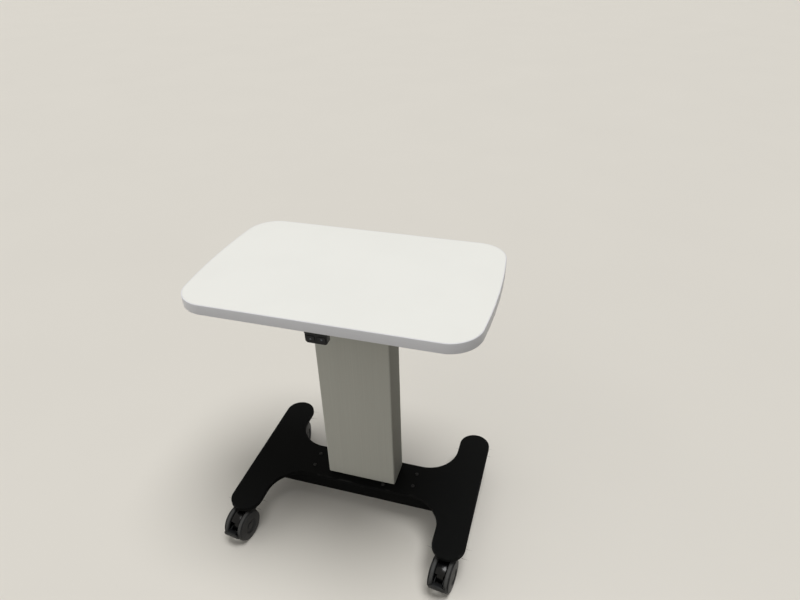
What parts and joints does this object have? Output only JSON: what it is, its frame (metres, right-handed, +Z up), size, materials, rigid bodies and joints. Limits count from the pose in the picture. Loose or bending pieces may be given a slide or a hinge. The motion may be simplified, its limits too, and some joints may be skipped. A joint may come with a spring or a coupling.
{
  "type": "height-adjustable instrument table",
  "caption": "Rolling instrument table: white bowed-end top with hand switch on an electric telescopic column and a black H-shaped base with braked twin-wheel castors.",
  "frame": {"origin": "on the floor, under the middle of the table's bounding box with the lift fully lowered", "axes": "+Z up out of the worktop; +Y away from the user, so the front edge with the hand switch faces -Y; +X to the user's right along the long side of the top"},
  "size_m": [0.6, 0.4218, 0.665],
  "materials": {
    "laminate_white": "gloss white laminate on a wood-based board",
    "band_white": "white plastic edge band, satin",
    "black_steel": "black powder coat, satin",
    "screw_black": "black-zinc-plated steel",
    "zinc_steel": "zinc-plated steel",
    "column_grey": "aluminium extrusion with a light warm grey powder coat, satin",
    "inner_aluminium": "anodised, satin",
    "glide_plastic": "natural sliding plastic",
    "cast_alloy": "die-cast, matt",
    "motor_steel": "black painted can",
    "nut_brass": "machined",
    "black_plastic": "black moulded plastic, fine grain",
    "switch_black": "black moulded plastic, satin",
    "button_black": "black membrane keys",
    "castor_steel": "bright steel",
    "hood_black": "gloss black moulded plastic",
    "hub_black": "black moulded plastic, satin",
    "tyre_grey": "dark grey elastic tread",
    "pedal_grey": "dark grey moulded plastic"
  },
  "bodies": {
    "base": {"base_plate": "black_steel", "cross_beam": "black_steel", "beam_caps": "black_plastic", "base_screws": "screw_black", "foot_plate": "zinc_steel", "foot_bolts": "zinc_steel", "column_inner": "inner_aluminium", "upper_glides": "glide_plastic", "nut_bracket": "zinc_steel", "lead_nut": "nut_brass", "castor_fl_stem": "castor_steel", "castor_fr_stem": "castor_steel", "castor_rl_stem": "castor_steel", "castor_rr_stem": "castor_steel"},
    "lift": {"top_board": "laminate_white", "edge_band": "band_white", "top_bracket": "black_steel", "board_screws": "screw_black", "head_bolts": "zinc_steel", "head_plate": "zinc_steel", "column_outer": "column_grey", "lower_glides": "glide_plastic", "gearbox": "cast_alloy", "motor": "motor_steel", "screw_bearing": "zinc_steel", "control_box": "black_plastic", "mains_inlet": "black_plastic", "switch_housing": "switch_black"},
    "screw": {"lead_screw": "zinc_steel"},
    "up_key": {"up_button": "button_black"},
    "down_key": {"down_button": "button_black"},
    "swivel_fl": {"castor_fl_hood": "hood_black", "castor_fl_axle": "castor_steel", "castor_fl_pedal_pin": "castor_steel"},
    "wheel_fl_l": {"castor_fl_hub_l": "hub_black", "castor_fl_tyre_l": "tyre_grey"},
    "wheel_fl_r": {"castor_fl_hub_r": "hub_black", "castor_fl_tyre_r": "tyre_grey"},
    "pedal_fl": {"castor_fl_pedal": "pedal_grey"},
    "swivel_fr": {"castor_fr_hood": "hood_black", "castor_fr_axle": "castor_steel", "castor_fr_pedal_pin": "castor_steel"},
    "wheel_fr_l": {"castor_fr_hub_l": "hub_black", "castor_fr_tyre_l": "tyre_grey"},
    "wheel_fr_r": {"castor_fr_hub_r": "hub_black", "castor_fr_tyre_r": "tyre_grey"},
    "pedal_fr": {"castor_fr_pedal": "pedal_grey"},
    "swivel_rl": {"castor_rl_hood": "hood_black", "castor_rl_axle": "castor_steel"},
    "wheel_rl_l": {"castor_rl_hub_l": "hub_black", "castor_rl_tyre_l": "tyre_grey"},
    "wheel_rl_r": {"castor_rl_hub_r": "hub_black", "castor_rl_tyre_r": "tyre_grey"},
    "swivel_rr": {"castor_rr_hood": "hood_black", "castor_rr_axle": "castor_steel"},
    "wheel_rr_l": {"castor_rr_hub_l": "hub_black", "castor_rr_tyre_l": "tyre_grey"},
    "wheel_rr_r": {"castor_rr_hub_r": "hub_black", "castor_rr_tyre_r": "tyre_grey"}
  },
  "joints": [
    {"name": "lift", "type": "slide", "parent": "base", "child": "lift", "axis": [0, 0, 1], "range_m": [0, 0.27]},
    {"name": "screw_spin", "type": "hinge", "parent": "lift", "child": "screw", "pos_m": [0, 0.02691, 0.116], "axis": [0, 0, 1], "range_deg": [0, 9720]},
    {"name": "up_press", "type": "slide", "parent": "lift", "child": "up_key", "axis": [0, 1, 0], "range_m": [0, 0.0012], "stiffness_N_per_m": 500},
    {"name": "down_press", "type": "slide", "parent": "lift", "child": "down_key", "axis": [0, 1, 0], "range_m": [0, 0.0012], "stiffness_N_per_m": 500},
    {"name": "fl_swivel", "type": "hinge", "parent": "base", "child": "swivel_fl", "pos_m": [-0.247, -0.13159, 0.0822], "axis": [0, 0, 1], "continuous": true},
    {"name": "fl_wheel_l_spin", "type": "hinge", "parent": "swivel_fl", "child": "wheel_fl_l", "pos_m": [-0.25144, -0.1653, 0.0375], "axis": [0.9914, -0.1305, 0], "continuous": true},
    {"name": "fl_wheel_r_spin", "type": "hinge", "parent": "swivel_fl", "child": "wheel_fl_r", "pos_m": [-0.25144, -0.1653, 0.0375], "axis": [0.9914, -0.1305, 0], "continuous": true},
    {"name": "fl_pedal_press", "type": "hinge", "parent": "swivel_fl", "child": "pedal_fl", "pos_m": [-0.25352, -0.18114, 0.04331], "axis": [0.9914, -0.1305, 0], "range_deg": [0, 15]},
    {"name": "fr_swivel", "type": "hinge", "parent": "base", "child": "swivel_fr", "pos_m": [0.247, -0.13159, 0.0822], "axis": [0, 0, 1], "continuous": true},
    {"name": "fr_wheel_l_spin", "type": "hinge", "parent": "swivel_fr", "child": "wheel_fr_l", "pos_m": [0.24286, -0.16534, 0.0375], "axis": [0.9925, -0.1219, 0], "continuous": true},
    {"name": "fr_wheel_r_spin", "type": "hinge", "parent": "swivel_fr", "child": "wheel_fr_r", "pos_m": [0.24286, -0.16534, 0.0375], "axis": [0.9925, -0.1219, 0], "continuous": true},
    {"name": "fr_pedal_press", "type": "hinge", "parent": "swivel_fr", "child": "pedal_fr", "pos_m": [0.24091, -0.18119, 0.04331], "axis": [0.9925, -0.1219, 0], "range_deg": [0, 15]},
    {"name": "rl_swivel", "type": "hinge", "parent": "base", "child": "swivel_rl", "pos_m": [-0.247, 0.17341, 0.0822], "axis": [0, 0, 1], "continuous": true},
    {"name": "rl_wheel_l_spin", "type": "hinge", "parent": "swivel_rl", "child": "wheel_rl_l", "pos_m": [-0.23993, 0.14015, 0.0375], "axis": [0.9781, 0.2079, 0], "continuous": true},
    {"name": "rl_wheel_r_spin", "type": "hinge", "parent": "swivel_rl", "child": "wheel_rl_r", "pos_m": [-0.23993, 0.14015, 0.0375], "axis": [0.9781, 0.2079, 0], "continuous": true},
    {"name": "rr_swivel", "type": "hinge", "parent": "base", "child": "swivel_rr", "pos_m": [0.247, 0.17341, 0.0822], "axis": [0, 0, 1], "continuous": true},
    {"name": "rr_wheel_l_spin", "type": "hinge", "parent": "swivel_rr", "child": "wheel_rr_l", "pos_m": [0.24463, 0.13949, 0.0375], "axis": [0.9976, -0.0698, 0], "continuous": true},
    {"name": "rr_wheel_r_spin", "type": "hinge", "parent": "swivel_rr", "child": "wheel_rr_r", "pos_m": [0.24463, 0.13949, 0.0375], "axis": [0.9976, -0.0698, 0], "continuous": true}
  ],
  "couplings": [
    {"joint": "screw_spin", "follows": "lift", "rad_per_m": 628.3}
  ]
}
